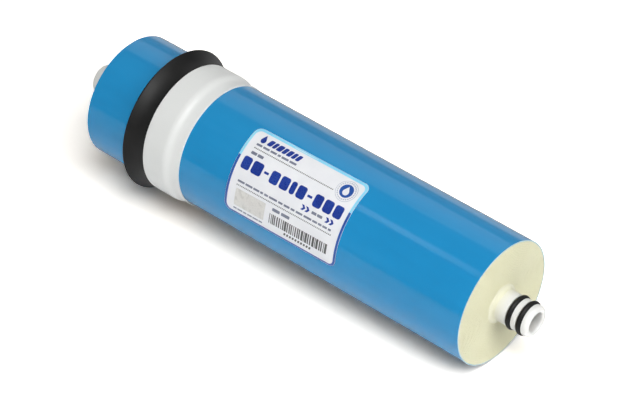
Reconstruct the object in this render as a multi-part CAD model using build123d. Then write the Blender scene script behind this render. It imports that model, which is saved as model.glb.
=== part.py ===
from build123d import *
import math
import os

# Spiral-wound reverse-osmosis membrane element, nominal 3.0 x 13 inch class.
# Millimetres. The element lies on its side: +X runs along the permeate tube
# towards the O-ring spigot, +Z is up. The origin is on the axis of the permeate
# bore, in the plane of the trimmed roll face at the spigot end.

# ---------------------------------------------------------------- dimensions
ROLL_LENGTH = 277.3          # trimmed length of the wound roll and its wrap
BODY_R = 38.0                # outside of the blue wrap (76 mm, 3.0 inch)
WRAP_T = 0.6                 # wrap tape, all its turns together

TUBE_R = 9.5                 # permeate tube outside (19 mm, 3/4 inch)
BORE_R = 5.7                 # permeate tube bore
SPIGOT_END = 23.9            # nose of the O-ring spigot
NOSE_FILLET = 2.3            # outer rounding of the spigot nose
MOUTH_FILLET = 1.5           # inner rounding, down to the bore
STUB_END = -302.0            # end of the plain feed-side stub
STUB_R = 9.25                # the stub is turned a little under the tube
STUB_FILLET = 1.4

RING_X = (11.3, 18.3)        # centres of the two O-ring grooves
RING_SECTION_R = 1.6         # O-ring section 3.2 mm
RING_OUTER_R = 10.4
GROOVE_R = 7.18
GROOVE_WIDTH = 3.7

HOLE_R = 1.0                 # permeate collection holes through the tube wall
HOLE_PITCH = 18.0
HOLE_COUNT = 14

PLUG_R = 6.46                # plug that closes the tube at the feed end
PLUG_SEAT_R = 6.5            # counterbore that holds it
PLUG_SEAT_X = -288.0         # step where the counterbore meets the bore
PLUG_HEAD_R = 7.4
PLUG_HEAD_T = 1.8
PLUG_POCKET_R = 7.44

CORE_WRAP_R = 10.0           # fabric wrapped straight on the tube, over the holes
CORE_WRAP_CLEAR = 0.02

LEAVES = 5                   # leaves wound together, each starting 72 degrees on
SECTORS = 25                 # 72 degree sectors in each leaf: five turns
CARRIER_T = 0.24             # knitted permeate carrier
MEMBRANE_T = 0.15            # membrane sheet, folded round its feed spacer
SPACER_T = 0.47              # feed spacer net
GAP = 0.01                   # free gap between neighbouring sheets
PITCH = 1.051                # thickness of one leaf's stack of sheets
SPACER_RECESS = 0.2          # the springy net sits just inside the trimmed faces
FOLD_ANGLE = 2.7             # where the folded edge's straight part begins
WRAP_CLEAR = 0.03            # roll to wrap, and core fabric to roll

GLUE_CLEAR = 0.02
GLUE_MIN_T = 0.14            # the bead is cut off where it would get thinner

RIM_R = 44.1                 # rim of the seal lip, facing the feed side
LIP_T = 1.15                 # thickness of the lip, and of its round rim
LIP_ROOT_R = 40.2            # outside of the lip where it meets the tape
LIP_BEND_R = 19.1            # radius of the lip's flare
SEAL_BACK_X = -230.85        # where the tape begins to cover the seal
SEAL_SKIRT_X = -215.1        # end of the seal's skirt under the tape
SEAL_SKIRT_R = 39.1
SEAL_BORE_R = 38.02
SEAL_LEG_X = -239.9          # inner leg of the cup, on the wrap
SEAL_LEG_R = 39.15
CUP_ROOT_X = -235.1          # bottom of the cup groove
TAPE_R = 40.05               # outside of the tape over the seal's skirt
TAPE_THIN_R = 38.5           # outside of the tape where it lies on the wrap
TAPE_END_X = -204.3

LABEL_X0, LABEL_X1 = -169.2, -87.2
LABEL_A0, LABEL_A1 = 9.75, 90.65     # degrees from +Z towards -Y
LABEL_TURN = 0.95                    # degrees the sticker sits off square
LABEL_R = 38.02
LABEL_T = 0.14
LABEL_CORNER = 4.5


# ---------------------------------------------------------------- helpers
def turned(points):
    """Solid of revolution about the X axis from an (x, r) outline."""
    outline = Polyline(*[(x, 0, r) for x, r in points], close=True)
    return revolve(make_face(outline.edges()), axis=Axis.X, revolution_arc=360)


def turned_edges(edges):
    return revolve(make_face(edges), axis=Axis.X, revolution_arc=360)


def line(a, b):
    return Line((a[0], 0, a[1]), (b[0], 0, b[1]))


def arc3(a, m, b):
    return ThreePointArc((a[0], 0, a[1]), (m[0], 0, m[1]), (b[0], 0, b[1]))


def ring_band(x0, x1, r0, r1):
    return turned([(x0, r0), (x1, r0), (x1, r1), (x0, r1)])


def save(part, name):
    part.label = name
    export_step(part, f"parts/{name}.step")
    print(name, "volume", round(part.volume, 1))


os.makedirs("parts", exist_ok=True)

# ---------------------------------------------------------------- permeate tube
# One tube through the whole roll: O-ring spigot, drilled middle, plain stub.
half = GROOVE_WIDTH / 2
k = 1 - math.sqrt(0.5)
outline = []


def add(a, b):
    outline.append(line(a, b))


add((STUB_END, PLUG_POCKET_R), (STUB_END, STUB_R - STUB_FILLET))
outline.append(arc3((STUB_END, STUB_R - STUB_FILLET),
                    (STUB_END + STUB_FILLET * k, STUB_R - STUB_FILLET * k),
                    (STUB_END + STUB_FILLET, STUB_R)))
add((STUB_END + STUB_FILLET, STUB_R), (-ROLL_LENGTH, STUB_R))
add((-ROLL_LENGTH, STUB_R), (-ROLL_LENGTH, TUBE_R))
x = -ROLL_LENGTH
for centre in RING_X:
    add((x, TUBE_R), (centre - half, TUBE_R))
    add((centre - half, TUBE_R), (centre - half, GROOVE_R))
    add((centre - half, GROOVE_R), (centre + half, GROOVE_R))
    add((centre + half, GROOVE_R), (centre + half, TUBE_R))
    x = centre + half
add((x, TUBE_R), (SPIGOT_END - NOSE_FILLET, TUBE_R))
outline.append(arc3((SPIGOT_END - NOSE_FILLET, TUBE_R),
                    (SPIGOT_END - NOSE_FILLET * k, TUBE_R - NOSE_FILLET * k),
                    (SPIGOT_END, TUBE_R - NOSE_FILLET)))
outline.append(arc3((SPIGOT_END, BORE_R + MOUTH_FILLET),
                    (SPIGOT_END - MOUTH_FILLET * k, BORE_R + MOUTH_FILLET * k),
                    (SPIGOT_END - MOUTH_FILLET, BORE_R)))
pocket_x = STUB_END + PLUG_HEAD_T + 0.04
add((SPIGOT_END - MOUTH_FILLET, BORE_R), (PLUG_SEAT_X, BORE_R))
add((PLUG_SEAT_X, BORE_R), (PLUG_SEAT_X, PLUG_SEAT_R))
add((PLUG_SEAT_X, PLUG_SEAT_R), (pocket_x, PLUG_SEAT_R))
add((pocket_x, PLUG_SEAT_R), (pocket_x, PLUG_POCKET_R))
add((pocket_x, PLUG_POCKET_R), (STUB_END, PLUG_POCKET_R))
tube = turned_edges(outline)

first_hole = -ROLL_LENGTH / 2 - HOLE_PITCH * (HOLE_COUNT - 1) / 2
for i in range(HOLE_COUNT):
    drill = Cylinder(HOLE_R, 2 * TUBE_R + 4)
    if i % 2:
        drill = Rot(90, 0, 0) * drill
    tube = tube - Pos(first_hole + i * HOLE_PITCH, 0, 0) * drill
save(tube, "permeate_tube")

# Plug glued in the feed end of the tube, its head flush in a pocket.
plug = turned([
    (STUB_END, 0), (STUB_END, PLUG_HEAD_R), (STUB_END + PLUG_HEAD_T, PLUG_HEAD_R),
    (STUB_END + PLUG_HEAD_T, PLUG_R), (PLUG_SEAT_X - 0.84, PLUG_R),
    (PLUG_SEAT_X - 0.04, PLUG_R - 0.8), (PLUG_SEAT_X - 0.04, 0)])
save(plug, "tube_plug")

# ---------------------------------------------------------------- O-rings
for name, centre in zip(("o_ring_inner", "o_ring_outer"), RING_X):
    ring = Pos(centre, 0, 0) * Rot(0, 90, 0) * Torus(RING_OUTER_R - RING_SECTION_R, RING_SECTION_R)
    save(ring, name)

# ---------------------------------------------------------------- core fabric
save(ring_band(-ROLL_LENGTH, 0, TUBE_R + CORE_WRAP_CLEAR, CORE_WRAP_R), "core_wrap")

# ---------------------------------------------------------------- wound leaves
# All sheets follow the involute of a regular polygon with one corner for each
# leaf. In each 72 degree sector every sheet is an arc about the same corner, so
# neighbouring sheets stay parallel and five leaves nest with no wedge between.
STEP = 2 * math.pi / LEAVES
CORNER_R = PITCH / (2 * math.sin(STEP / 2))
BULGE = CORNER_R * math.cos(math.pi / 2 - STEP / 2)
ROOT_R = CORE_WRAP_R + WRAP_CLEAR + BULGE


def corner(j):
    a = j * STEP
    return (CORNER_R * math.cos(a), CORNER_R * math.sin(a))


def bound(j):
    """Direction in which sector j begins."""
    return (j - 0.5) * STEP - math.pi / 2


def on(j, r, theta):
    c = corner(j)
    return (0, c[0] + r * math.cos(theta), c[1] + r * math.sin(theta))


def winding(leaf, height, skip, reverse=False):
    """Arcs of the face at this height in the leaf's stack, from core to outside."""
    arcs = []
    for n in range(SECTORS):
        j = leaf + n
        r = ROOT_R + height + n * PITCH
        t0, t1 = bound(j), bound(j + 1)
        if n == 0:
            t0 += math.radians(skip)
        arcs.append((j, r, t0, t1))
    edges = [ThreePointArc(on(j, r, a), on(j, r, (a + b) / 2), on(j, r, b)) for j, r, a, b in arcs]
    return edges, on(arcs[0][0], arcs[0][1], arcs[0][2]), on(arcs[-1][0], arcs[-1][1], arcs[-1][3])


def sheet(leaf, low, high, skip, x0, x1):
    """A plain sheet between two heights of the stack."""
    inner, i0, i1 = winding(leaf, low, skip)
    outer, o0, o1 = winding(leaf, high, skip)
    wire = Wire(inner + [Line(i1, o1)] + outer[::-1] + [Line(o0, i0)])
    return extrude(Pos(x0, 0, 0) * Face(wire), amount=x1 - x0, dir=(1, 0, 0))


def folded(leaf, low, mid_low, mid_high, high, skip, x0, x1):
    """A sheet folded in half: two layers joined by a round fold at the core."""
    a, a0, a1 = winding(leaf, low, skip)
    b, b0, b1 = winding(leaf, mid_low, skip)
    c, c0, c1 = winding(leaf, mid_high, skip)
    d, d0, d1 = winding(leaf, high, skip)
    t = bound(leaf) + math.radians(skip)
    centre = on(leaf, ROOT_R + (low + high) / 2, t)
    back = (math.sin(t), -math.cos(t))

    def tip(radius):
        return (0, centre[1] + radius * back[0], centre[2] + radius * back[1])

    outer_fold = ThreePointArc(a0, tip((high - low) / 2), d0)
    inner_fold = ThreePointArc(b0, tip((mid_high - mid_low) / 2), c0)
    wire = Wire(a + [Line(a1, b1)] + b[::-1] + [inner_fold] + c + [Line(c1, d1)] + d[::-1] + [outer_fold])
    return extrude(Pos(x0, 0, 0) * Face(wire), amount=x1 - x0, dir=(1, 0, 0))


h_carrier = (GAP / 2, GAP / 2 + CARRIER_T)
h_lower = (h_carrier[1] + GAP, h_carrier[1] + GAP + MEMBRANE_T)
h_spacer = (h_lower[1] + GAP, h_lower[1] + GAP + SPACER_T)
h_upper = (h_spacer[1] + GAP, h_spacer[1] + GAP + MEMBRANE_T)
print("stack", round(h_upper[1] + GAP / 2, 4), "pitch", PITCH,
      "outermost", round(ROOT_R + h_upper[1] + (SECTORS - 1) * PITCH + BULGE, 3))
length = sum((ROOT_R + PITCH / 2 + n * PITCH) * STEP for n in range(SECTORS))
print("leaf length", round(length), "mm")

for leaf in range(LEAVES):
    n = leaf + 1
    save(sheet(leaf, *h_carrier, 0.2, -ROLL_LENGTH, 0), f"permeate_carrier_{n}")
    save(folded(leaf, h_lower[0], h_lower[1], h_upper[0], h_upper[1], FOLD_ANGLE, -ROLL_LENGTH, 0),
         f"membrane_leaf_{n}")
    save(sheet(leaf, *h_spacer, FOLD_ANGLE, -ROLL_LENGTH + SPACER_RECESS, -SPACER_RECESS),
         f"feed_spacer_{n}")

# Glue bead along the outer edge of each leaf, filling the step up to the wrap.
seat_r = ROOT_R + SECTORS * PITCH + GLUE_CLEAR
wrap_bore = BODY_R - WRAP_T
bead_r = wrap_bore - GLUE_CLEAR
beads = []
for leaf in range(LEAVES):
    j = leaf + SECTORS          # the sector after this leaf's last one
    seat_j = j                  # here the next leaf is outermost
    low_r = ROOT_R + GLUE_CLEAR + SECTORS * PITCH
    c = corner(seat_j)
    t0 = bound(seat_j) + 0.15 / low_r
    # angle where the room under the wrap gets down to the bead's least thickness
    t1 = t0
    while True:
        p = on(seat_j, low_r, t1)
        if bead_r - math.hypot(p[1], p[2]) < GLUE_MIN_T:
            break
        t1 += math.radians(0.25)

    def outer_point(t):
        lo, hi = low_r, low_r + 3
        for _ in range(60):
            m = (lo + hi) / 2
            p = on(seat_j, m, t)
            lo, hi = (m, hi) if math.hypot(p[1], p[2]) < bead_r else (lo, m)
        return on(seat_j, lo, t)

    tm = (t0 + t1) / 2
    p0, p1 = outer_point(t0), outer_point(t1)
    a0, a1 = math.atan2(p0[2], p0[1]), math.atan2(p1[2], p1[1])
    while a1 < a0:
        a1 += 2 * math.pi
    am = (a0 + a1) / 2
    q0, q1 = on(seat_j, low_r, t0), on(seat_j, low_r, t1)
    wire = Wire([ThreePointArc(q0, on(seat_j, low_r, tm), q1), Line(q1, p1),
                 ThreePointArc(p1, (0, bead_r * math.cos(am), bead_r * math.sin(am)), p0),
                 Line(p0, q0)])
    beads.append(extrude(Pos(-ROLL_LENGTH, 0, 0) * Face(wire), amount=ROLL_LENGTH, dir=(1, 0, 0)))
glue = Compound(children=[b.solid() for b in beads])
save(glue, "leaf_edge_glue")

# ---------------------------------------------------------------- outer wrap
save(ring_band(-ROLL_LENGTH, 0, wrap_bore, BODY_R), "outer_wrap")

# ---------------------------------------------------------------- brine seal
# Cup seal: a skirt under the tape, a solid heel, an inner leg on the wrap and a
# flared outer lip with a rounded rim, open towards the feed side. The lip leaves
# the heel level and bends outwards along an arc.
rim_r = LIP_T / 2


def lip(angle, offset=0.0):
    """Point of the lip's outer face after bending by this angle, or below it."""
    r = LIP_BEND_R + offset
    return (SEAL_BACK_X - r * math.sin(angle), LIP_ROOT_R + LIP_BEND_R - r * math.cos(angle))


def rim_top(angle):
    return lip(angle, rim_r)[1] + rim_r


lo, hi = 0.2, 1.2
for _ in range(60):
    bend = (lo + hi) / 2
    lo, hi = (bend, hi) if rim_top(bend) < RIM_R else (lo, bend)
rim_centre = lip(bend, rim_r)
print("lip bend", round(math.degrees(bend), 1), "rim at", round(rim_centre[0] - rim_r, 2))
u = (-math.cos(bend), math.sin(bend))
rim_mid = (rim_centre[0] + u[0] * rim_r, rim_centre[1] + u[1] * rim_r)
cup = math.asin((SEAL_BACK_X - CUP_ROOT_X) / (LIP_BEND_R + LIP_T))
root_in = lip(cup, LIP_T)
root_half = (root_in[1] - SEAL_LEG_R) / 2
heel = [
    line((SEAL_SKIRT_X, SEAL_BORE_R), (SEAL_SKIRT_X, SEAL_SKIRT_R - 0.3)),
    line((SEAL_SKIRT_X, SEAL_SKIRT_R - 0.3), (SEAL_SKIRT_X - 0.6, SEAL_SKIRT_R)),
    line((SEAL_SKIRT_X - 0.6, SEAL_SKIRT_R), (SEAL_BACK_X, SEAL_SKIRT_R)),
    line((SEAL_BACK_X, SEAL_SKIRT_R), (SEAL_BACK_X, LIP_ROOT_R)),
    arc3(lip(0), lip(bend / 2), lip(bend)),
    arc3(lip(bend), rim_mid, lip(bend, LIP_T)),
    arc3(lip(bend, LIP_T), lip((bend + cup) / 2, LIP_T), root_in),
    arc3(root_in, (root_in[0] + root_half, root_in[1] - root_half), (root_in[0], SEAL_LEG_R)),
    line((root_in[0], SEAL_LEG_R), (SEAL_LEG_X, SEAL_LEG_R)),
    arc3((SEAL_LEG_X, SEAL_LEG_R), (SEAL_LEG_X - 0.55, (SEAL_LEG_R + SEAL_BORE_R) / 2),
         (SEAL_LEG_X, SEAL_BORE_R)),
    line((SEAL_LEG_X, SEAL_BORE_R), (SEAL_SKIRT_X, SEAL_BORE_R)),
]
save(turned_edges(heel), "brine_seal")

# ---------------------------------------------------------------- seal tape
# White tape band over the seal's skirt, easing down on to the wrap.
t_in = SEAL_SKIRT_R + 0.03
x0 = SEAL_BACK_X + 0.05
x1 = SEAL_SKIRT_X + 0.05
tape = [
    line((x0, t_in), (x0, TAPE_R - 0.22)),
    arc3((x0, TAPE_R - 0.22), (x0 + 0.08, TAPE_R - 0.08), (x0 + 0.3, TAPE_R)),
    line((x0 + 0.3, TAPE_R), (x1 - 1.25, TAPE_R + 0.07)),
    arc3((x1 - 1.25, TAPE_R + 0.07), (x1 + 0.75, TAPE_R - 0.2), (x1 + 2.25, TAPE_R - 0.72)),
    arc3((x1 + 2.25, TAPE_R - 0.72), (x1 + 3.6, TAPE_R - 1.2), (x1 + 5.4, TAPE_THIN_R + 0.1)),
    line((x1 + 5.4, TAPE_THIN_R + 0.1), (TAPE_END_X - 0.5, TAPE_THIN_R)),
    arc3((TAPE_END_X - 0.5, TAPE_THIN_R), (TAPE_END_X - 0.12, TAPE_THIN_R - 0.14),
         (TAPE_END_X, TAPE_THIN_R - 0.37)),
    line((TAPE_END_X, TAPE_THIN_R - 0.37), (TAPE_END_X, 38.03)),
    line((TAPE_END_X, 38.03), (x1, 38.03)),
    line((x1, 38.03), (x1, SEAL_SKIRT_R - 0.28)),
    line((x1, SEAL_SKIRT_R - 0.28), (SEAL_SKIRT_X - 0.57, t_in)),
    line((SEAL_SKIRT_X - 0.57, t_in), (x0, t_in)),
]
save(turned_edges(tape), "seal_tape")

# ---------------------------------------------------------------- label
# Bare sticker with rounded corners on the wrap, stuck on slightly askew. The
# cutter is a radial wedge with its corners rounded, turned about the radius
# through the middle of the sticker.
a0, a1 = math.radians(LABEL_A0), math.radians(LABEL_A1)


def ray(a, r):
    return (0, -r * math.sin(a), r * math.cos(a))


wedge = Face(Wire([Line((0, 0, 0), ray(a0, 60)), Line(ray(a0, 60), ray((a0 + a1) / 2, 80)),
                   Line(ray((a0 + a1) / 2, 80), ray(a1, 60)), Line(ray(a1, 60), (0, 0, 0))]))
wedge = extrude(Pos(LABEL_X0, 0, 0) * wedge, amount=LABEL_X1 - LABEL_X0, dir=(1, 0, 0))
for sx, edge_x in ((-1, LABEL_X0), (1, LABEL_X1)):
    for sa, edge_a in ((-1, a0), (1, a1)):
        ac = edge_a - sa * math.asin(LABEL_CORNER / (LABEL_R + LABEL_T / 2))
        seat = ray(ac, LABEL_R)
        plane = Plane(origin=(edge_x - sx * LABEL_CORNER, seat[1], seat[2]),
                      x_dir=(1, 0, 0), z_dir=ray(ac, 1))
        side = 2 * LABEL_CORNER
        cutter = Pos(sx * side / 2, -sa * side / 2, 0) * Box(side, side, 4) - Cylinder(LABEL_CORNER, 6)
        wedge = wedge - plane * cutter
middle = Axis(((LABEL_X0 + LABEL_X1) / 2, 0, 0), ray((a0 + a1) / 2, 1))
wedge = wedge.rotate(middle, LABEL_TURN)
label = ring_band(LABEL_X0 - 3, LABEL_X1 + 3, LABEL_R, LABEL_R + LABEL_T) & wedge
save(label, "label")
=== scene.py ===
import math
import random

import bpy
from mathutils import Matrix, Vector, noise


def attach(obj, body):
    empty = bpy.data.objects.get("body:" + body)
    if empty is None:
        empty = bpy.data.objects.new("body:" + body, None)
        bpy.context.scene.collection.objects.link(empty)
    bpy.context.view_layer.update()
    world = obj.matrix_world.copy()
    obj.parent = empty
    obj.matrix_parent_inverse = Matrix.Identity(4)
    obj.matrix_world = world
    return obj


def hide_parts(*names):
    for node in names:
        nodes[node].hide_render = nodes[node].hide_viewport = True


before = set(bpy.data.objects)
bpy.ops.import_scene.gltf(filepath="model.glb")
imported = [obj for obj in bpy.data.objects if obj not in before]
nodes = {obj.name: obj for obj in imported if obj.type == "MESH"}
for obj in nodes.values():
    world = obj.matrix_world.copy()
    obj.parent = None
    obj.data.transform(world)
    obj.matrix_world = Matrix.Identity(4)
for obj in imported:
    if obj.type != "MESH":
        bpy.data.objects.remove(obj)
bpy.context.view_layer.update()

MM = 0.001

# Dimensions of the element, in millimetres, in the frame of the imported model.
BODY_R, WRAP_BORE = 38.0, 37.4
ROLL_LENGTH = 277.3
TUBE_R = 9.5
LABEL_X, LABEL_A, LABEL_W, LABEL_R = -128.2, 50.2, 82.0, 38.16      # middle, width, face radius
LABEL_H = math.radians(80.9) * LABEL_R
LABEL_TURN = math.radians(0.95)
RIM_X, RIM_R = -242.5, 44.1
LEAVES, SECTORS, PITCH = 5, 25, 1.051
CORE_R, CORE_CLEAR, SPACER_MID, SPACER_RECESS, FOLD_ANGLE = 10.0, 0.03, 0.65, 0.2, 2.7


# ------------------------------------------------------------------ node helpers
def lin(r, g, b):
    """Linear colour of an 8-bit sRGB one."""
    def one(c):
        c /= 255.0
        return c / 12.92 if c <= 0.04045 else ((c + 0.055) / 1.055) ** 2.4
    return (one(r), one(g), one(b), 1.0)


class Mat:
    """A material under construction, with object coordinates in metres."""

    def __init__(self, name, rough=0.4, ior=1.5, **sockets):
        self.m = bpy.data.materials.new(name)
        self.m.use_nodes = True
        self.t = self.m.node_tree
        self.b = next(n for n in self.t.nodes if n.type == "BSDF_PRINCIPLED")
        self.b.inputs["Roughness"].default_value = rough
        self.b.inputs["IOR"].default_value = ior
        for key, value in sockets.items():
            self.b.inputs[key.replace("_", " ")].default_value = value
        self.coord = self.t.nodes.new("ShaderNodeTexCoord").outputs["Object"]

    def node(self, kind, **values):
        n = self.t.nodes.new(kind)
        for k, v in values.items():
            setattr(n, k, v)
        return n

    def link(self, a, b):
        self.t.links.new(a, b)

    def stretch(self, scale=(1, 1, 1), rotation=(0, 0, 0), source=None):
        n = self.node("ShaderNodeMapping")
        n.inputs["Scale"].default_value = scale
        n.inputs["Rotation"].default_value = rotation
        self.link(source or self.coord, n.inputs["Vector"])
        return n.outputs["Vector"]

    def noise(self, scale, detail=3.0, rough=0.5, source=None, distortion=0.0):
        n = self.node("ShaderNodeTexNoise")
        n.inputs["Scale"].default_value = scale
        n.inputs["Detail"].default_value = detail
        n.inputs["Roughness"].default_value = rough
        n.inputs["Distortion"].default_value = distortion
        self.link(source or self.coord, n.inputs["Vector"])
        return n.outputs["Fac"]

    def voronoi(self, scale, source=None, feature="F1"):
        n = self.node("ShaderNodeTexVoronoi", feature=feature)
        n.inputs["Scale"].default_value = scale
        self.link(source or self.coord, n.inputs["Vector"])
        return n.outputs["Distance"]

    def remap(self, value, a, b, c, d, smooth=False):
        n = self.node("ShaderNodeMapRange")
        if smooth:
            n.interpolation_type = "SMOOTHSTEP"
        for i, v in enumerate((a, b, c, d)):
            n.inputs[1 + i].default_value = v
        self.link(value, n.inputs["Value"])
        return n.outputs["Result"]

    def math(self, op, a, b=None, clamp=False):
        n = self.node("ShaderNodeMath", operation=op, use_clamp=clamp)
        for i, v in enumerate((a, b)):
            if v is None:
                continue
            if isinstance(v, (int, float)):
                n.inputs[i].default_value = v
            else:
                self.link(v, n.inputs[i])
        return n.outputs[0]

    def ramp(self, value, stops):
        n = self.node("ShaderNodeValToRGB")
        e = n.color_ramp.elements
        while len(e) < len(stops):
            e.new(0.5)
        for el, (p, c) in zip(e, stops):
            el.position = p
            el.color = c
        self.link(value, n.inputs["Fac"])
        return n.outputs["Color"]

    def mix(self, fac, a, b, blend="MIX"):
        n = self.node("ShaderNodeMix", data_type="RGBA", blend_type=blend)
        self.link(fac, n.inputs["Factor"]) if not isinstance(fac, float) else setattr(n.inputs["Factor"], "default_value", fac)
        for socket, v in ((n.inputs[6], a), (n.inputs[7], b)):
            if isinstance(v, tuple):
                socket.default_value = v
            else:
                self.link(v, socket)
        return n.outputs[2]

    def xyz(self):
        n = self.node("ShaderNodeSeparateXYZ")
        self.link(self.coord, n.inputs[0])
        return n.outputs

    def color(self, value):
        self.link(value, self.b.inputs["Base Color"])
        return self

    def rough(self, value):
        self.link(value, self.b.inputs["Roughness"])
        return self

    def bump(self, height, distance, strength=1.0, after=None):
        n = self.node("ShaderNodeBump")
        n.inputs["Strength"].default_value = strength
        n.inputs["Distance"].default_value = distance
        self.link(height, n.inputs["Height"])
        if after is not None:
            self.link(after, n.inputs["Normal"])
        self.link(n.outputs["Normal"], self.b.inputs["Normal"])
        return n.outputs["Normal"]


def paint(obj, mat):
    mats = obj.data.materials
    if len(mats):
        mats[0] = mat.m
    else:
        mats.append(mat.m)


# ------------------------------------------------------------------ materials
def blue_wrap():
    m = Mat("wrap_blue_film", rough=0.12, ior=1.5)
    long = m.stretch((0.35, 1.0, 1.0))
    tone = m.noise(26.0, 3.0, 0.5, long)
    fine = m.noise(190.0, 2.0, 0.5, m.stretch((0.08, 1.0, 1.0)))
    both = m.math("ADD", m.math("MULTIPLY", tone, 0.75), m.math("MULTIPLY", fine, 0.25))
    m.color(m.ramp(both, [(0.36, (0.0040, 0.236, 0.512, 1)), (0.5, (0.0052, 0.250, 0.536, 1)), (0.66, (0.0090, 0.265, 0.556, 1))]))
    m.rough(m.remap(m.noise(60.0, 3.0, 0.6, long), 0.3, 0.7, 0.09, 0.15))
    m.bump(m.noise(330.0, 2.0, 0.5, m.stretch((0.3, 1.0, 1.0))), 0.00002, 0.35)
    return m


def wrap_edge_and_rim_highlight():
    # pale cyan at the wrap's ends: partly the film's own pale cut edge, partly a painted highlight along the rim
    m = Mat("wrap_cut_edge_and_painted_highlight", rough=0.38, ior=1.5)
    turns = m.noise(2200.0, 2.0, 0.5)
    m.color(m.ramp(turns, [(0.3, lin(140, 184, 204)), (0.7, lin(186, 214, 224))]))
    m.bump(turns, 0.00003, 0.4)
    return m


def cream(name, light, dark, scale=900.0, rough=0.62, depth=0.00004):
    """Trimmed edge of a sheet in the roll, a little uneven from the knife."""
    m = Mat(name, rough=rough, ior=1.45)
    patch = m.noise(46.0, 3.0, 0.55)
    grain = m.noise(scale, 3.0, 0.6)
    mixed = m.math("ADD", m.math("MULTIPLY", patch, 0.55), m.math("MULTIPLY", grain, 0.45))
    m.color(m.ramp(mixed, [(0.36, dark), (0.62, light)]))
    m.rough(m.remap(grain, 0.3, 0.7, rough - 0.08, rough + 0.1))
    m.bump(grain, depth, 0.5)
    return m


def white_plastic():
    m = Mat("tube_white_plastic", rough=0.34, ior=1.5)
    m.b.inputs["Subsurface Weight"].default_value = 0.12
    m.b.inputs["Subsurface Radius"].default_value = (1.0, 0.9, 0.75)
    m.b.inputs["Subsurface Scale"].default_value = 0.0012
    patch = m.noise(70.0, 3.0, 0.5)
    x = m.xyz()[0]
    # the tube is tinted cream inside the roll and up to about 8 mm out of the spigot-end face, not at the feed end
    near = m.math("SUBTRACT", m.remap(x, -0.2, -0.1, 0.0, 1.0), m.remap(x, 0.001, 0.0085, 0.0, 1.0, True), clamp=True)
    base = m.ramp(patch, [(0.3, (0.745, 0.750, 0.728, 1)), (0.7, (0.785, 0.788, 0.766, 1))])
    m.color(m.mix(m.math("MULTIPLY", near, 0.85), base, (0.775, 0.765, 0.615, 1)))
    m.rough(m.remap(m.noise(240.0, 3.0, 0.6), 0.3, 0.7, 0.28, 0.42))
    m.bump(m.noise(900.0, 2.0, 0.5), 0.00002, 0.25)
    return m


def black_rubber(name, base=0.0085, rough=0.42, dust=0.02, scale=60.0, ior=1.5):
    m = Mat(name, rough=rough, ior=ior)
    soft = m.noise(scale, 4.0, 0.6)
    specks = m.noise(1500.0, 2.0, 0.7)
    m.color(m.ramp(soft, [(0.32, (base, base, base * 1.02, 1)), (0.72, (base + dust * 0.45, base + dust * 0.42, base + dust * 0.4, 1))]))
    m.rough(m.remap(soft, 0.3, 0.7, rough - 0.05, rough + 0.08))
    m.bump(specks, 0.00002, 0.35)
    return m


def white_tape():
    m = Mat("tape_white_film", rough=0.3, ior=1.48)
    long = m.stretch((1.0, 0.6, 0.6))
    patch = m.noise(34.0, 4.0, 0.55, long)
    fine = m.noise(260.0, 2.0, 0.5, m.stretch((1.0, 0.5, 0.5)))
    m.color(m.ramp(patch, [(0.30, (0.735, 0.748, 0.730, 1)), (0.70, (0.760, 0.772, 0.756, 1))]))
    m.rough(m.remap(fine, 0.3, 0.7, 0.3, 0.38))
    m.bump(fine, 0.00001, 0.1)
    return m


def film(name, light, dark, rough=0.34, scale=120.0, grain=1800.0):
    m = Mat(name, rough=rough, ior=1.46)
    soft = m.noise(scale, 3.0, 0.5)
    m.color(m.ramp(soft, [(0.35, dark), (0.65, light)]))
    m.rough(m.remap(m.noise(grain, 2.0, 0.5), 0.3, 0.7, rough - 0.06, rough + 0.06))
    return m


def silver_patch():
    m = Mat("label_silver_patch", rough=0.3, ior=1.6)
    cells = m.voronoi(900.0)
    cloud = m.noise(300.0, 4.0, 0.6)
    both = m.math("ADD", m.math("MULTIPLY", cells, 0.4), m.math("MULTIPLY", cloud, 0.7))
    m.color(m.ramp(both, [(0.3, lin(204, 203, 199)), (0.75, lin(217, 216, 211))]))
    m.rough(m.remap(cloud, 0.3, 0.7, 0.22, 0.4))
    return m


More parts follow.
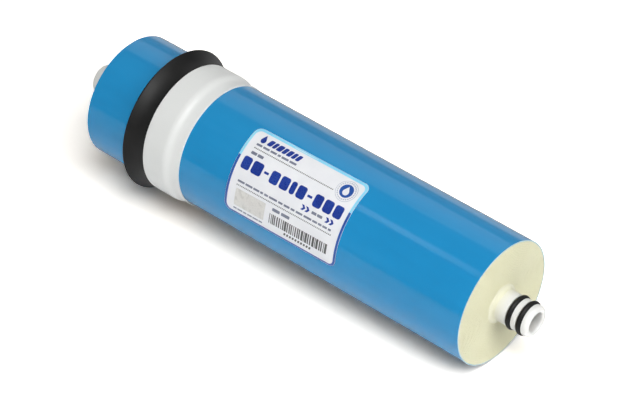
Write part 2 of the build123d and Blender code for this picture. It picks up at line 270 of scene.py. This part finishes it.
MAT = {
    "wrap": blue_wrap(),
    "edge": wrap_edge_and_rim_highlight(),
    "tube": white_plastic(),
    "ring": black_rubber("o_ring_black_rubber", 0.003, 0.44, 0.006, 300.0, 1.36),
    "seal": black_rubber("seal_black_rubber", 0.0028, 0.46, 0.013, 42.0, 1.34),
    "tape": white_tape(),
    "membrane": cream("membrane_edge", (0.786, 0.776, 0.560, 1), (0.742, 0.728, 0.508, 1)),
    "spacer": cream("spacer_edge", (0.750, 0.740, 0.522, 1), (0.690, 0.676, 0.455, 1), 1300.0),
    "carrier": cream("carrier_edge", (0.796, 0.784, 0.580, 1), (0.750, 0.738, 0.532, 1), 1600.0, 0.75, 0.00006),
    "core": cream("core_fabric_edge", (0.735, 0.735, 0.570, 1), (0.680, 0.680, 0.510, 1), 1600.0, 0.75, 0.00006),
    "glue": cream("glue_edge", (0.720, 0.722, 0.540, 1), (0.670, 0.672, 0.490, 1), 700.0, 0.35),
    "fillet": cream("glue_fillet", (0.735, 0.726, 0.560, 1), (0.710, 0.700, 0.530, 1), 500.0, 0.6, 0.00002),
    "strand": cream("net_strand_end", (0.770, 0.775, 0.610, 1), (0.720, 0.722, 0.550, 1), 900.0, 0.4),
    "label": film("label_white_film", (0.830, 0.838, 0.860, 1), (0.795, 0.805, 0.832, 1)),
    "ink_cyan": film("label_ink_cyan", lin(148, 217, 240), lin(136, 209, 238)),
    "ink_blue": film("label_ink_blue", lin(40, 88, 168), lin(30, 76, 156)),
    "ink_navy": film("label_ink_navy", lin(30, 62, 152), lin(20, 48, 136), 0.3),
    "ink_grey": film("label_ink_grey", lin(128, 134, 150), lin(108, 114, 132)),
    "ink_dark": film("label_ink_dark", lin(92, 93, 92), lin(76, 77, 78)),
    "ink_ring": film("label_ink_ring", lin(176, 182, 196), lin(160, 166, 184)),
    "ink_white": film("label_ink_white", (0.83, 0.84, 0.86, 1), (0.79, 0.80, 0.83, 1)),
    "silver": silver_patch(),
}

for name, obj in nodes.items():
    if name.startswith("membrane_leaf"):
        paint(obj, MAT["membrane"])
    elif name.startswith("feed_spacer"):
        paint(obj, MAT["spacer"])
    elif name.startswith("permeate_carrier"):
        paint(obj, MAT["carrier"])
for name, key in (("core_wrap", "core"), ("leaf_edge_glue", "glue"), ("permeate_tube", "tube"),
                  ("tube_plug", "tube"), ("o_ring_inner", "ring"), ("o_ring_outer", "ring"),
                  ("brine_seal", "seal"), ("seal_tape", "tape"), ("outer_wrap", "wrap"), ("label", "label")):
    paint(nodes[name], MAT[key])


# ------------------------------------------------------------------ mesh helpers
def make(name, verts, faces, mats, slots=None, smooth=True, slot=None, scale=MM):
    me = bpy.data.meshes.new(name)
    me.from_pydata([tuple(c * scale for c in v) for v in verts], [], faces)
    for m in mats:
        me.materials.append(m.m)
    if slots:
        for p, s in zip(me.polygons, slots):
            p.material_index = s
    if smooth is True:
        me.polygons.foreach_set("use_smooth", [True] * len(me.polygons))
    elif smooth:
        me.polygons.foreach_set("use_smooth", smooth)
    me.update()
    obj = bpy.data.objects.new(name, me)
    bpy.context.scene.collection.objects.link(obj)
    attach(obj, "root")
    return obj


def around(x, r, a):
    """Point at angle a from +Z towards -Y, millimetres."""
    return (x, -r * math.sin(a), r * math.cos(a))


# ------------------------------------------------------------------ blue wrap
def wrap_skin():
    """The wrap film: one lap seam along the back, soft unevenness and eased ends."""
    n, seam = 360, math.radians(205)
    lap = 0.04
    ease = [(0.0, 0.09), (0.03, 0.045), (0.08, 0.015), (0.16, 0.0)]
    xs = [(-ROLL_LENGTH + d, s) for d, s in ease]
    steps = 68
    xs += [(-ROLL_LENGTH + 1.0 + (ROLL_LENGTH - 2.0) * i / steps, 0.0) for i in range(steps + 1)]
    xs += [(-d, s) for d, s in reversed(ease)]
    verts, faces, slots, flat = [], [], [], []

    def dip(x, a):
        v = noise.noise(Vector((x / 95.0, 3.1 * math.cos(a), 3.1 * math.sin(a)))) * 0.5 + 0.5
        w = noise.noise(Vector((x / 210.0 + 7.0, 1.4 * math.cos(a), 1.4 * math.sin(a)))) * 0.5 + 0.5
        return 0.02 * v + 0.03 * w

    for x, s in xs:
        for i in range(n + 1):
            a = seam + 2 * math.pi * i / n
            r = BODY_R - lap * (i / n) - dip(x, a) * (1.0 if s == 0.0 else 0.6) - s
            verts.append(around(x, r, a))
    rows = len(xs)
    first_inner = len(verts)
    for x, _ in (xs[0], xs[-1]):
        for i in range(n):
            verts.append(around(x, WRAP_BORE, seam + 2 * math.pi * i / n))

    def outer(k, i):
        return k * (n + 1) + i

    def inner(e, i):
        return first_inner + e * n + i % n

    for k in range(rows - 1):
        # the rows at each end take the pale edge colour: partly the film's cut edge, partly a painted rim highlight
        edge = 1 if (k < 2 or k > rows - 4) else 0
        for i in range(n):
            faces.append((outer(k, i), outer(k, i + 1), outer(k + 1, i + 1), outer(k + 1, i)))
            slots.append(edge)
            flat.append(True)
        faces.append((outer(k, n), outer(k, 0), outer(k + 1, 0), outer(k + 1, n)))
        slots.append(1)
        flat.append(False)
    for i in range(n):
        faces.append((outer(0, i + 1), outer(0, i), inner(0, i), inner(0, i + 1)))
        faces.append((outer(rows - 1, i), outer(rows - 1, i + 1), inner(1, i + 1), inner(1, i)))
        faces.append((inner(0, i + 1), inner(0, i), inner(1, i), inner(1, i + 1)))
        slots += [1, 1, 0]
        flat += [False, False, True]
    faces.append((outer(0, 0), outer(0, n), inner(0, 0)))
    faces.append((outer(rows - 1, n), outer(rows - 1, 0), inner(1, 0)))
    slots += [1, 1]
    flat += [False, False]
    obj = make("wrap_skin", verts, faces, [MAT["wrap"], MAT["edge"]], slots, flat, "wrap_blue")
    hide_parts("outer_wrap")
    return obj


wrap_skin()


# ------------------------------------------------------------------ net strand ends
def strand_ends(name, x_base, x_tip):
    """Cut ends of the feed net's strands, standing in the recess of each spacer."""
    step = 2 * math.pi / LEAVES
    corner_r = PITCH / (2 * math.sin(step / 2))
    root_r = CORE_R + CORE_CLEAR + PITCH / 2
    rng = random.Random(11)
    sides = 6
    verts, faces = [], []
    sign = 1 if x_tip > x_base else -1
    for leaf in range(LEAVES):
        along, upper = rng.uniform(0, 1.5), True
        for n in range(SECTORS):
            j = leaf + n
            cy, cz = corner_r * math.cos(j * step), corner_r * math.sin(j * step)
            r = root_r + SPACER_MID + n * PITCH
            t0 = (j - 0.5) * step - math.pi / 2
            t1 = t0 + step
            if n == 0:
                t0 += math.radians(FOLD_ANGLE + 1.0)
            span = (t1 - t0) * r
            while along < span:
                t = t0 + along / r
                rr = r + (0.10 if upper else -0.10) + rng.uniform(-0.02, 0.02)
                y, z = cy + rr * math.cos(t), cz + rr * math.sin(t)
                tang, rad = (-math.sin(t), math.cos(t)), (math.cos(t), math.sin(t))
                a, b = rng.uniform(0.20, 0.27), rng.uniform(0.105, 0.125)
                tip = x_tip - sign * rng.uniform(0.0, 0.05)
                base = len(verts)
                for x, k in ((x_base, 1.0), (tip - sign * 0.04, 1.0), (tip, 0.72)):
                    for s in range(sides):
                        p = 2 * math.pi * (s + 0.5) / sides
                        u, w = a * k * math.cos(p), b * k * math.sin(p)
                        verts.append((x, y + u * tang[0] + w * rad[0], z + u * tang[1] + w * rad[1]))
                for lev in range(2):
                    for s in range(sides):
                        q = (s + 1) % sides
                        f = (base + lev * sides + s, base + lev * sides + q, base + (lev + 1) * sides + q, base + (lev + 1) * sides + s)
                        faces.append(f if sign > 0 else f[::-1])
                cap = tuple(base + 2 * sides + s for s in range(sides))
                bottom = tuple(base + s for s in reversed(range(sides)))
                faces.append(cap if sign > 0 else cap[::-1])
                faces.append(bottom if sign > 0 else bottom[::-1])
                along += rng.uniform(1.75, 2.05)
                upper = not upper
            along -= span
    obj = make(name, verts, faces, [MAT["strand"]], None, False, "spacer_net")
    return obj


strand_ends("net_strands_permeate_end", -SPACER_RECESS, -0.02)
strand_ends("net_strands_feed_end", -ROLL_LENGTH + SPACER_RECESS, -ROLL_LENGTH + 0.02)


# ------------------------------------------------------------------ glue at the tube
def glue_fillet(x_face, sign):
    """Low fillet of set glue where the tube leaves the roll's face."""
    n, leg_x, leg_r = 96, 2.6, 2.4
    profile = []
    for i in range(9):
        t = math.pi / 2 * i / 8
        profile.append((leg_x * (1 - math.sin(t)), leg_r * (1 - math.cos(t))))
    profile += [(-0.05, leg_r), (-0.05, -0.08), (leg_x, -0.08)]
    k = len(profile)
    verts, faces = [], []
    for i in range(n):
        a = 2 * math.pi * i / n
        wave = 1.0 + 0.06 * math.sin(3 * a + 0.7) + 0.04 * math.sin(7 * a)
        for dx, dr in profile:
            verts.append(around(x_face + sign * (dx * wave if dx > 0 else dx), TUBE_R + (dr * wave if dr > 0 else dr), a))
    for i in range(n):
        j = (i + 1) % n
        for q in range(k):
            w = (q + 1) % k
            f = (i * k + q, i * k + w, j * k + w, j * k + q)
            faces.append(f if sign > 0 else f[::-1])
    return verts, faces


for end, x_face, sign in (("permeate", 0.0, 1), ("feed", -ROLL_LENGTH, -1)):
    make("glue_fillet_%s_end" % end, *glue_fillet(x_face, sign), [MAT["fillet"]], None, True, "glue")


# ------------------------------------------------------------------ label print
INK = 0.02


def on_label(u, v, h):
    """Point u mm from the sticker's left edge and v mm down from its top edge."""
    x, phi = u - LABEL_W / 2, (v - LABEL_H / 2) / LABEL_R
    side, out = LABEL_R * math.sin(phi), LABEL_R * math.cos(phi)
    c, s = math.cos(LABEL_TURN), math.sin(LABEL_TURN)
    x, side = x * c + side * s, side * c - x * s
    return around(LABEL_X + x, LABEL_R + h, math.radians(LABEL_A) + math.atan2(side, out))


def stack(rows):
    """Faces between successive rows (v, left u, right u)."""
    out = []
    for (v0, l0, r0), (v1, l1, r1) in zip(rows, rows[1:]):
        f = [(l0, v0), (r0, v0), (r1, v1), (l1, v1)]
        g = []
        for p in f:
            if not g or math.dist(p, g[-1]) > 1e-4:
                g.append(p)
        if len(g) > 1 and math.dist(g[0], g[-1]) < 1e-4:
            g.pop()
        if len(g) > 2:
            out.append(g)
    return out


def levels(v0, v1, extra=(), step=0.9):
    stops = sorted({round(v, 5) for v in (v0, v1, *extra)})
    out = []
    for a, b in zip(stops, stops[1:]):
        k = max(1, math.ceil((b - a) / step))
        out += [a + (b - a) * i / k for i in range(k)]
    return out + [stops[-1]]


def bar(u0, u1, v0, v1, rc=0.3, lean=0.0, cuts=4):
    """Bar with round corners, leaning to the right by lean mm for each mm of height."""
    rc = min(rc, (u1 - u0) / 2, (v1 - v0) / 2)
    arcs = [rc * (1 - math.cos(math.pi / 2 * i / cuts)) for i in range(cuts + 1)]
    rows = []
    for v in levels(v0, v1, [v0 + t for t in arcs] + [v1 - t for t in arcs]):
        t = max(v0 + rc - v, v - (v1 - rc), 0.0)
        inset = rc - math.sqrt(max(rc * rc - t * t, 0.0))
        shift = lean * ((v0 + v1) / 2 - v)
        rows.append((v, u0 + inset + shift, u1 - inset + shift))
    return stack(rows)


def disc(u, v, r, cuts=12):
    return bar(u - r, u + r, v - r, v + r, r, 0.0, cuts)


def ring(u, v, r0, r1, n=64, start=0.0, end=1.0):
    out = []
    k = max(2, int(n * (end - start)))
    for i in range(k):
        a, b = (2 * math.pi * (start + (end - start) * (i + j) / k) for j in (0, 1))
        out.append([(u + r0 * math.cos(a), v + r0 * math.sin(a)), (u + r1 * math.cos(a), v + r1 * math.sin(a)),
                    (u + r1 * math.cos(b), v + r1 * math.sin(b)), (u + r0 * math.cos(b), v + r0 * math.sin(b))])
    return out


def chevron(u, v0, v1, reach, w):
    vm = (v0 + v1) / 2
    rows = []
    for v in levels(v0, v1, [vm], 0.6):
        d = reach * (1 - abs(v - vm) / (vm - v0))
        rows.append((v, u + d, u + d + w))
    return stack(rows)


def drop(u, v0, v1, r):
    """A water drop: point at the top, round at the bottom."""
    vc = v1 - r
    touch = math.asin(r / (vc - v0))
    vt, ut = vc - r * math.sin(touch), r * math.cos(touch)
    rows = []
    for v in levels(v0, v1, [vt] + [vc + r * math.sin(a / 12) for a in range(-6, 19)], 0.35):
        if v <= vt:
            w = ut * (v - v0) / (vt - v0)
        else:
            w = math.sqrt(max(r * r - (v - vc) ** 2, 0.0))
        rows.append((v, u - w, u + w))
    return stack(rows)


def print_on(name, shapes, mat, low=0.0, high=INK):
    """Closed ink film of these faces in (u, v), lying on the label."""
    key, pts, top = {}, [], []
    for face in shapes:
        ids = []
        for u, v in face:
            k = (round(u, 4), round(v, 4))
            if k not in key:
                key[k] = len(pts)
                pts.append((u, v))
            ids.append(key[k])
        ids = [i for n, i in enumerate(ids) if i != ids[n - 1]]
        if len(ids) > 2:
            area = sum(pts[ids[i - 1]][0] * pts[ids[i]][1] - pts[ids[i]][0] * pts[ids[i - 1]][1] for i in range(len(ids)))
            top.append(tuple(ids if area > 0 else ids[::-1]))
    used = {}
    for f in top:
        for a, b in zip(f, f[1:] + f[:1]):
            used[(a, b)] = used.get((a, b), 0) + 1
    n = len(pts)
    verts = [on_label(u, v, high) for u, v in pts] + [on_label(u, v, low) for u, v in pts]
    # u runs along +X and v down the side, so a positive area in (u, v) faces inwards
    faces = [f[::-1] for f in top] + [tuple(i + n for i in f) for f in top]
    for (a, b) in used:
        if (b, a) not in used:
            faces.append((a, b, b + n, a + n))
    return make(name, verts, faces, [mat], None, False, "label_film")


def outline(inset_u0, inset_u1, inset_v0, inset_v1, rc, per=8):
    """Points of a rounded rectangle inside the label, clockwise from the top left."""
    u0, u1, v0, v1 = inset_u0, LABEL_W - inset_u1, inset_v0, LABEL_H - inset_v1
    corners = [(u0 + rc, v0 + rc, math.pi), (u1 - rc, v0 + rc, 1.5 * math.pi),
               (u1 - rc, v1 - rc, 0.0), (u0 + rc, v1 - rc, 0.5 * math.pi)]
    arcs = [[(cu + rc * math.cos(a + math.pi / 2 * i / per), cv + rc * math.sin(a + math.pi / 2 * i / per))
             for i in range(per + 1)] for cu, cv, a in corners]
    return arcs


def border():
    """Printed frame: pale blue over the top, dark blue from part way down the sides."""
    out = outline(0.1, 0.1, 0.1, 0.1, 4.4)
    inn = outline(1.6, 1.65, 1.85, 1.1, 3.4)
    turn = 19.6
    pale, dark = [], []

    def side(o0, o1, i0, i1):
        k = max(1, math.ceil(abs(o1[1] - o0[1]) / 0.9))
        for j in range(k):
            a, b = j / k, (j + 1) / k
            quad = [(o0[0] + (o1[0] - o0[0]) * t, o0[1] + (o1[1] - o0[1]) * t) for t in (a, b)]
            quad += [(i0[0] + (i1[0] - i0[0]) * t, i0[1] + (i1[1] - i0[1]) * t) for t in (b, a)]
            (pale if sum(p[1] for p in quad) / 4 < turn else dark).append(quad)

    for c in range(4):
        for j in range(len(out[c]) - 1):
            side(out[c][j], out[c][j + 1], inn[c][j], inn[c][j + 1])
        d = (c + 1) % 4
        o0, o1, i0, i1 = out[c][-1], out[d][0], inn[c][-1], inn[d][0]
        if c in (1, 3):
            mid = [(p[0], turn) for p in (o0, i0)]
            side(o0, mid[0], i0, mid[1])
            side(mid[0], o1, mid[1], i1)
        else:
            side(o0, o1, i0, i1)
    return pale, dark


def words(rng, u0, u1, v0, v1, least, most, gap, rc=0.2, lean=0.0):
    """A line of plain blocks of uneven width, standing in for a line of print."""
    out, u = [], u0
    while u < u1 - least * 0.6:
        w = min(rng.uniform(least, most), u1 - u)
        out += bar(u, u + w, v0, v1, rc, lean)
        u += w + gap * rng.uniform(0.8, 1.3)
    return out


def dots(u0, u1, v, size=0.66, pitch=1.16, lean=0.5):
    out, u = [], u0
    while u < u1:
        out += bar(u, u + size, v - size * 0.55, v + size * 0.55, 0.08, lean, 1)
        u += pitch
    return out


def label_print():
    rng = random.Random(5)
    pale, dark = border()
    print_on("label_print_pale_border", pale, MAT["ink_cyan"])
    print_on("label_print_blue_border", dark, MAT["ink_blue"])

    navy = []
    # heading: a drop mark and a row of leaning blocks
    navy += drop(8.7, 2.8, 8.4, 1.75)
    u = 12.4
    for w in (3.1, 2.3, 3.5, 2.6, 3.0, 2.4, 2.6):
        navy += bar(u, u + w, 4.0, 8.1, 0.8, 0.3)
        u += w + 0.62
    # large line: heavy blocks in three groups with short dashes between
    u = 4.4
    for w in (6.1, 7.2, -3.8, 6.1, 6.1, 3.6, 5.9, -3.8, 5.9, 6.1, 5.7):
        if w > 0:
            navy += bar(u, u + w, 18.6, 26.1, 1.5, 0.0)
            u += w + 1.25
        else:
            navy += bar(u + 0.2, u - w - 0.2, 21.5, 22.9, 0.5)
            u += -w + 1.25
    for u in (51.4, 54.4, 68.8, 71.8):
        navy += chevron(u, 27.7, 30.8, 1.4, 1.7)
    print_on("label_print_navy", navy, MAT["ink_navy"])

    grey = []
    grey += words(rng, 6.5, 35.8, 9.5, 10.8, 2.0, 5.2, 0.7, 0.25)
    grey += words(rng, 6.6, 15.8, 14.8, 16.5, 3.6, 4.6, 0.7, 0.4)
    grey += words(rng, 59.1, 67.0, 28.5, 30.1, 3.4, 4.2, 0.6, 0.4)
    grey += words(rng, 6.5, 75.6, 32.7, 33.9, 2.0, 6.0, 0.75, 0.3)
    grey += words(rng, 6.8, 28.4, 49.9, 50.9, 1.6, 4.2, 0.6, 0.2)
    grey += words(rng, 34.1, 48.4, 37.9, 39.7, 5.4, 7.2, 0.9, 0.4)
    print_on("label_print_grey", grey, MAT["ink_grey"])

    rules = dots(6.5, 63.6, 12.6) + dots(6.5, 75.8, 35.7)
    print_on("label_print_rules", rules, MAT["ink_dark"])

    bars, u = [], 33.0
    while u < 75.4:
        w = rng.choice((0.55, 0.9, 0.9, 1.5))
        bars += bar(u, min(u + w, 76.0), 41.6, 47.8, 0.02, 0.0, 1)
        u += w + rng.choice((0.4, 0.45, 0.7, 0.8))
    u = 44.4
    while u < 64.0:
        bars += bar(u, u + 1.3, 48.9, 50.5, 0.35, 0.3)
        u += 2.05
    print_on("label_print_bars", bars, MAT["ink_dark"])

    print_on("label_print_badge", disc(71.5, 9.65, 4.25), MAT["ink_blue"])
    print_on("label_print_badge_drop", drop(71.5, 6.7, 12.5, 2.0), MAT["ink_white"], INK * 0.9, INK * 1.7)
    fine = ring(71.5, 9.65, 6.45, 6.7, 96)
    for k in range(26):
        a = k / 26
        fine += ring(71.5, 9.65, 5.1, 5.75, 96, a, a + 0.024)
    print_on("label_print_badge_ring", fine, MAT["ink_ring"])
    print_on("label_silver_patch", bar(7.0, 29.1, 37.7, 48.4, 0.4), MAT["silver"], 0.0, INK * 1.4)


label_print()


# ------------------------------------------------------------------ floor, camera, light
FLOOR_SEEN, FLOOR_MIRRORED, BEHIND_GLOW = (1.68, 1.65, 1.60), (0.92, 0.92, 0.92), (0.36, 0.78)
FLOOR_BOUNCE, FLOOR_DEEP, FLOOR_GLOW = (1.33, 1.33, 1.33), (0.12, 0.08, 0.05), 0.013


def floor():
    """Pale floor, touching the seal's rim and the wrap's spigot end."""
    slope = (RIM_R - BODY_R) / -RIM_X
    size = 14.0
    verts = []
    for y in (-size, size):
        for x in (-size, size):
            verts.append((x, y, -BODY_R * MM + slope * x))
    me = bpy.data.meshes.new("floor")
    me.from_pydata(verts, [], [(0, 1, 3, 2)])
    mat = bpy.data.materials.new("floor_white")
    mat.use_nodes = True
    t = mat.node_tree
    for n in list(t.nodes):
        t.nodes.remove(n)
    out = t.nodes.new("ShaderNodeOutputMaterial")
    path = t.nodes.new("ShaderNodeLightPath")

    def diffuse(r, g, b):
        n = t.nodes.new("ShaderNodeBsdfDiffuse")
        n.inputs["Color"].default_value = (r, g, b, 1)
        return n.outputs[0]

    def choose(fac, first, second):
        n = t.nodes.new("ShaderNodeMixShader")
        for s, v in zip(n.inputs, (fac, first, second)):
            t.links.new(v, s)
        return n.outputs[0]

    # the floor is paler to the camera than in the light it throws back on the element
    # a faint warm glow seen only by the camera: painted light that warms the floor's shadow
    glow = t.nodes.new("ShaderNodeEmission")
    glow.inputs["Color"].default_value = (1.0, 0.55, 0.0, 1)
    glow.inputs["Strength"].default_value = FLOOR_GLOW
    near = t.nodes.new("ShaderNodeAddShader")
    t.links.new(diffuse(*FLOOR_SEEN), near.inputs[0])
    t.links.new(glow.outputs[0], near.inputs[1])
    # far from the element, beyond the lamps, the floor stays as pale as the background
    reach = t.nodes.new("ShaderNodeVectorMath")
    reach.operation = "LENGTH"
    t.links.new(t.nodes.new("ShaderNodeTexCoord").outputs["Object"], reach.inputs[0])
    far = t.nodes.new("ShaderNodeMapRange")
    for i, v in enumerate((0.5, 1.7, 0.0, 1.15)):
        far.inputs[1 + i].default_value = v
    t.links.new(reach.outputs["Value"], far.inputs["Value"])
    sweep = t.nodes.new("ShaderNodeEmission")
    sweep.inputs["Color"].default_value = (1, 1, 1, 1)
    t.links.new(far.outputs["Result"], sweep.inputs["Strength"])
    lit = t.nodes.new("ShaderNodeAddShader")
    t.links.new(near.outputs[0], lit.inputs[0])
    t.links.new(sweep.outputs[0], lit.inputs[1])
    deep = t.nodes.new("ShaderNodeMath")
    deep.operation = "GREATER_THAN"
    deep.inputs[1].default_value = 1.5
    t.links.new(path.outputs["Ray Depth"], deep.inputs[0])
    bounce = choose(deep.outputs[0], diffuse(*FLOOR_BOUNCE), diffuse(*FLOOR_DEEP))
    place = t.nodes.new("ShaderNodeSeparateXYZ")
    t.links.new(t.nodes.new("ShaderNodeTexCoord").outputs["Object"], place.inputs[0])

    def by_depth(start, end, low, high):
        n = t.nodes.new("ShaderNodeMapRange")
        for i, v in enumerate((start, end, low, high)):
            n.inputs[1 + i].default_value = v
        t.links.new(place.outputs[1], n.inputs["Value"])
        return n.outputs["Result"]

    # behind the element the floor glows for mirror rays only, brighter further back: a painted reflection of a lit
    # backdrop along the top of the wrap
    behind = t.nodes.new("ShaderNodeEmission")
    behind.inputs["Color"].default_value = (1.0, 1.0, 1.0, 1)
    t.links.new(by_depth(0.08, 0.35, *BEHIND_GLOW), behind.inputs["Strength"])
    mirrored = choose(by_depth(0.03, 0.06, 0.0, 1.0), diffuse(*FLOOR_MIRRORED), behind.outputs[0])
    other = choose(path.outputs["Is Glossy Ray"], bounce, mirrored)
    t.links.new(choose(path.outputs["Is Camera Ray"], other, lit.outputs[0]), out.inputs["Surface"])
    me.materials.append(mat)
    obj = bpy.data.objects.new("floor", me)
    bpy.context.scene.collection.objects.link(obj)


floor()

cam_data = bpy.data.cameras.new("camera")
cam_data.sensor_width = 36.0
cam_data.lens = 162.4
cam_data.clip_start, cam_data.clip_end = 0.05, 60.0
cam = bpy.data.objects.new("camera", cam_data)
bpy.context.scene.collection.objects.link(cam)
cam.matrix_world = Matrix(((0.753408, -0.425652, 0.501191, 0.68687),
                           (0.657551, 0.488951, -0.573201, -0.93502),
                           (-0.001075, 0.761409, 0.648266, 1.05504),
                           (0, 0, 0, 1)))
bpy.context.scene.camera = cam


def area(name, direction, distance, size, power, target=(-0.12, 0.0, -0.01), color=(1, 1, 1)):
    d = Vector(direction).normalized()
    data = bpy.data.lights.new(name, "AREA")
    data.shape = "DISK"
    data.size = size
    data.energy = power
    data.color = color
    obj = bpy.data.objects.new(name, data)
    obj.location = Vector(target) + d * distance
    obj.rotation_mode = "QUATERNION"
    obj.rotation_quaternion = d.to_track_quat("Z", "Y")
    bpy.context.scene.collection.objects.link(obj)


def toward(azimuth, elevation):
    """Unit vector; azimuth 0 is the -Y side and 90 the +X side."""
    a, e = math.radians(azimuth), math.radians(elevation)
    return (math.sin(a) * math.cos(e), -math.cos(a) * math.cos(e), math.sin(e))


area("key_light", toward(41, 66), 1.7, 1.05, 6.8)
area("key_light_right", toward(62, 66), 1.7, 1.05, 10.7)
area("face_light", toward(90, 35), 1.7, 0.9, 10.5)
area("front_light", toward(20, 50), 1.7, 1.05, 6.3)
# dim broad panel behind: the soft band along the top of the wrap
area("back_panel", (-0.50, 0.62, 0.60), 2.2, 1.35, 2.4)


def strip(name, direction, distance, across, along, power, target):
    """Rectangular lamp with its short side along the element and its long side around it."""
    d = Vector(direction).normalized()
    x = (Vector((1, 0, 0)) - d * d.x).normalized()
    y = d.cross(x)
    data = bpy.data.lights.new(name, "AREA")
    data.shape = "RECTANGLE"
    data.size, data.size_y, data.energy = across, along, power
    obj = bpy.data.objects.new(name, data)
    pos = Vector(target) + d * distance
    obj.matrix_world = Matrix(((x.x, y.x, d.x, pos.x), (x.y, y.y, d.y, pos.y), (x.z, y.z, d.z, pos.z), (0, 0, 0, 1)))
    bpy.context.scene.collection.objects.link(obj)


# small lamp above the spigot end: the narrow streak on the wrap
strip("streak_lamp", (-0.50, -0.275, 0.82), 1.5, 0.20, 0.22, 0.16, (-0.012, -0.018, 0.033))

world = bpy.data.worlds.new("studio")
world.use_nodes = True
wt = world.node_tree
for n in list(wt.nodes):
    wt.nodes.remove(n)
w_out = wt.nodes.new("ShaderNodeOutputWorld")
w_mix = wt.nodes.new("ShaderNodeMixShader")
w_dim = wt.nodes.new("ShaderNodeBackground")
w_dim.inputs["Color"].default_value = (0.97, 0.98, 1.0, 1)
w_dim.inputs["Strength"].default_value = 0.07
w_seen = wt.nodes.new("ShaderNodeBackground")
w_seen.inputs["Color"].default_value = (0.97, 0.98, 1.0, 1)
w_seen.inputs["Strength"].default_value = 0.36
w_gloss = wt.nodes.new("ShaderNodeMixShader")
w_white = wt.nodes.new("ShaderNodeBackground")
w_white.inputs["Color"].default_value = (1, 1, 1, 1)
w_white.inputs["Strength"].default_value = 1.2
w_path = wt.nodes.new("ShaderNodeLightPath")
wt.links.new(w_path.outputs["Is Camera Ray"], w_mix.inputs[0])
wt.links.new(w_path.outputs["Is Glossy Ray"], w_gloss.inputs[0])
wt.links.new(w_dim.outputs[0], w_gloss.inputs[1])
wt.links.new(w_seen.outputs[0], w_gloss.inputs[2])
wt.links.new(w_gloss.outputs[0], w_mix.inputs[1])
wt.links.new(w_white.outputs[0], w_mix.inputs[2])
wt.links.new(w_mix.outputs[0], w_out.inputs["Surface"])
bpy.context.scene.world = world

view = bpy.context.scene.view_settings
view.view_transform = "Standard"
view.look = "None"
view.exposure = 0.0
view.gamma = 1.0
